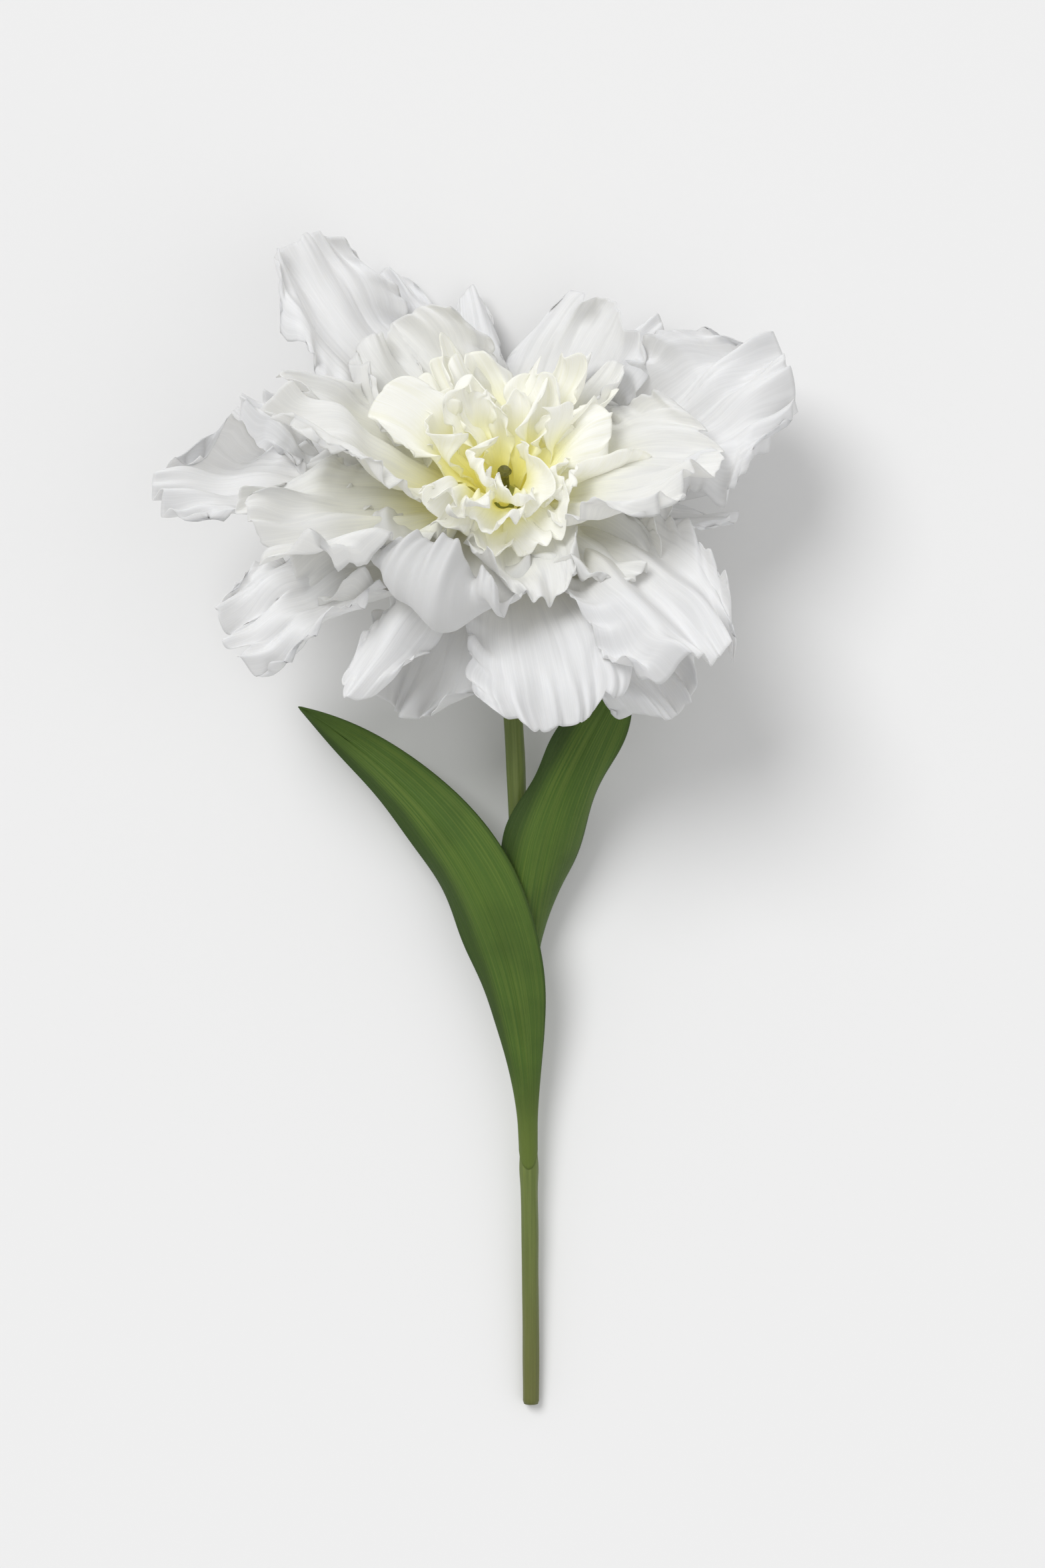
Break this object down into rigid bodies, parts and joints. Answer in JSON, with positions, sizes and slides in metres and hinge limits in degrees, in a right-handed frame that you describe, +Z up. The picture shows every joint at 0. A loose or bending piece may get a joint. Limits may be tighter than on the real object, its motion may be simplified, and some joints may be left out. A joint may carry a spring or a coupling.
{
  "type": "cut tulip",
  "caption": "Cut double tulip with an open bloom of broad frilled petals, a bare stem bent at the neck and two clasping leaves, lying on its side.",
  "frame": {"origin": "middle of the footprint, on the surface the flower lies on", "axes": "+Z up from the surface, +Y from the cut end of the stem to the bloom, +X to the right of the bloom seen from above"},
  "size_m": [0.2338, 0.4428, 0.1143],
  "materials": {
    "stem": "waxy olive-green living stem, a little browner at the cut end",
    "receptacle": "pale yellow-green living tissue",
    "pistil": "dull olive-yellow living tissue",
    "leaf": "waxy mid-green leaf with fine lengthwise veins and darker margins",
    "petal_outer": "thin soft white petal, faintly translucent, with fine lengthwise veins",
    "petal_middle": "thin soft white petal, cream towards its foot",
    "petal_inner": "thin soft cream petal, yellow towards its foot"
  },
  "bodies": {
    "root": {"stem": "stem", "receptacle": "receptacle", "pistil": "pistil", "leaf_left": "leaf", "leaf_right": "leaf", "petal_outer_01": "petal_outer", "petal_outer_02": "petal_outer", "petal_outer_03": "petal_outer", "petal_outer_04": "petal_outer", "petal_outer_05": "petal_outer", "petal_outer_06": "petal_outer", "petal_outer_07": "petal_outer", "petal_outer_08": "petal_outer", "petal_outer_09": "petal_outer", "petal_outer_10": "petal_outer", "petal_outer_11": "petal_outer", "petal_outer_12": "petal_outer", "petal_outer_13": "petal_outer", "petal_outer_14": "petal_outer", "petal_outer_15": "petal_outer", "petal_middle_01": "petal_middle", "petal_middle_02": "petal_middle", "petal_middle_03": "petal_middle", "petal_middle_04": "petal_middle", "petal_middle_05": "petal_middle", "petal_middle_06": "petal_middle", "petal_middle_07": "petal_middle", "petal_middle_08": "petal_middle", "petal_middle_09": "petal_middle", "petal_middle_10": "petal_middle", "petal_middle_11": "petal_middle", "petal_inner_01": "petal_inner", "petal_inner_02": "petal_inner", "petal_inner_03": "petal_inner", "petal_inner_04": "petal_inner", "petal_inner_05": "petal_inner", "petal_inner_06": "petal_inner", "petal_inner_07": "petal_inner", "petal_inner_08": "petal_inner", "petal_inner_09": "petal_inner", "petal_inner_10": "petal_inner", "petal_inner_11": "petal_inner", "petal_inner_12": "petal_inner", "petal_inner_13": "petal_inner", "petal_inner_14": "petal_inner", "petal_inner_15": "petal_inner", "petal_inner_16": "petal_inner", "petal_inner_17": "petal_inner", "petal_inner_18": "petal_inner", "petal_inner_19": "petal_inner", "petal_inner_20": "petal_inner", "petal_inner_21": "petal_inner", "petal_inner_22": "petal_inner", "petal_inner_23": "petal_inner", "petal_inner_24": "petal_inner"}
  },
  "joints": []
}
